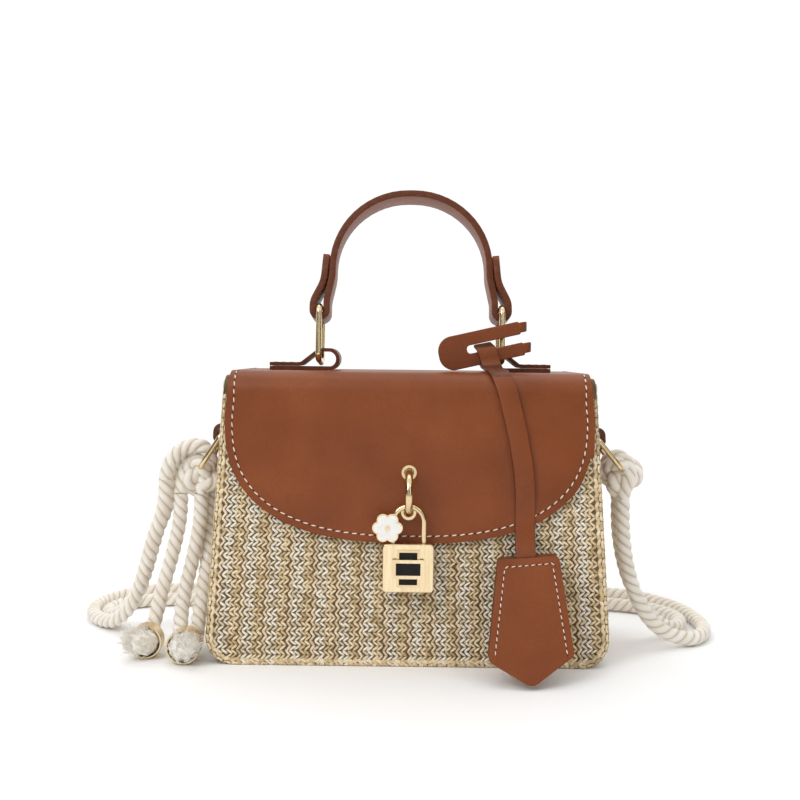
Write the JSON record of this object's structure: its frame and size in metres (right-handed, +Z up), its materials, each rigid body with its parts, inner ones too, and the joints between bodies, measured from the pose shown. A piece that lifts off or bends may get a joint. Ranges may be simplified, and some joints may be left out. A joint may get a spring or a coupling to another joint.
{
  "type": "basket box bag",
  "caption": "Structured woven straw handbag with a curved leather flap, top handle on metal links, hanging padlock, leather tag and a knotted cotton rope strap.",
  "frame": {"origin": "centre of the box's flat bottom, where it stands on the floor", "axes": "+X to the viewer's right along the front, +Y to the back, +Z up"},
  "size_m": [0.3971, 0.2006, 0.2597],
  "materials": {
    "straw": "woven natural straw",
    "board": "plain board",
    "lining": "plain cotton weave",
    "leather": "smooth brown leather with painted edges",
    "gold": "pale gold plating",
    "magnet": "plated steel",
    "black_enamel": "black enamel",
    "white_enamel": "white enamel",
    "cotton": "twisted cotton rope"
  },
  "bodies": {
    "root": {"front_panel": "straw", "back_panel": "straw", "gusset": "straw", "base_board": "board", "lining": "lining", "back_band": "leather", "left_snap_socket": "magnet", "right_snap_socket": "magnet", "left_side_tab": "leather", "right_side_tab": "leather", "strap_strand_outer": "cotton", "strap_strand_inner": "cotton", "tail_one": "cotton", "tail_two": "cotton", "tail_three": "cotton", "end_cap_one": "gold", "end_cap_two": "gold", "tuft_one": "cotton", "tuft_two": "cotton"},
    "flap_body": {"flap": "leather", "upper_eyelet": "gold", "lower_eyelet": "gold", "hasp_loop": "gold", "hasp_plate": "gold", "left_snap_stud": "magnet", "right_snap_stud": "magnet", "left_top_tab": "leather", "right_top_tab": "leather", "tag_head": "leather"},
    "left_link": {"left_handle_ring": "gold"},
    "right_link": {"right_handle_ring": "gold"},
    "handle": {"handle_strap": "leather"},
    "padlock": {"padlock_case": "gold", "padlock_back": "gold", "lock_slot_frame": "gold", "lock_slot_inlay": "black_enamel"},
    "lock_slide": {"lock_slider": "gold", "lock_slider_inlay": "black_enamel", "lock_catch": "magnet"},
    "shackle_body": {"shackle": "gold"},
    "charm": {"flower_charm": "gold", "charm_enamel": "white_enamel", "charm_centre": "black_enamel"},
    "tag": {"tag_strap": "leather", "bell_back_leaf": "leather", "bell_front_leaf": "leather"},
    "left_ring": {"left_side_ring": "gold", "left_knot": "cotton"},
    "right_ring": {"right_side_ring": "gold", "right_knot": "cotton"}
  },
  "joints": [
    {"name": "flap_hinge", "type": "hinge", "parent": "root", "child": "flap_body", "pos_m": [0, 0.0382, 0.1558], "axis": [-1, 0, 0], "range_deg": [0, 110]},
    {"name": "left_link_sway", "type": "hinge", "parent": "flap_body", "child": "left_link", "pos_m": [-0.0513, 0, 0.16215], "axis": [0, 0.9925, -0.1219], "range_deg": [-20, 20]},
    {"name": "handle_sway", "type": "hinge", "parent": "left_link", "child": "handle", "pos_m": [-0.0513, 0.00367, 0.19203], "axis": [0, 0.9925, -0.1219], "range_deg": [-20, 20]},
    {"name": "right_link_sway", "type": "hinge", "parent": "flap_body", "child": "right_link", "pos_m": [0.0513, 0, 0.16215], "axis": [0, 0.9925, -0.1219], "range_deg": [-20, 20]},
    {"name": "padlock_swing", "type": "hinge", "parent": "flap_body", "child": "padlock", "pos_m": [0, -0.05036, 0.08697], "axis": [-1, 0, 0], "range_deg": [0, 50]},
    {"name": "shackle_lift", "type": "slide", "parent": "padlock", "child": "shackle_body", "axis": [0, 0, 1], "range_m": [0, 0.006]},
    {"name": "lock_slider_slide", "type": "slide", "parent": "padlock", "child": "lock_slide", "axis": [0, 0, 1], "range_m": [-0.003, 0.003]},
    {"name": "charm_turn", "type": "hinge", "parent": "shackle_body", "child": "charm", "pos_m": [-0.008, -0.05036, 0.07607], "axis": [0, 0, 1], "range_deg": [-25, 25]},
    {"name": "tag_swing", "type": "hinge", "parent": "flap_body", "child": "tag", "pos_m": [0, -0.0431, 0.146], "axis": [-1, 0, 0], "range_deg": [0, 60]},
    {"name": "left_ring_swing", "type": "hinge", "parent": "root", "child": "left_ring", "pos_m": [-0.10513, 0, 0.1205], "axis": [0, 1, 0], "range_deg": [0, 40], "deforming": ["strap_strand_outer", "strap_strand_inner", "tail_one", "tail_two", "tail_three"]},
    {"name": "right_ring_swing", "type": "hinge", "parent": "root", "child": "right_ring", "pos_m": [0.10513, 0, 0.1205], "axis": [0, -1, 0], "range_deg": [0, 40]}
  ],
  "couplings": [
    {"joint": "handle_sway", "follows": "left_link_sway", "ratio": -1},
    {"joint": "right_link_sway", "follows": "left_link_sway", "ratio": 1}
  ]
}
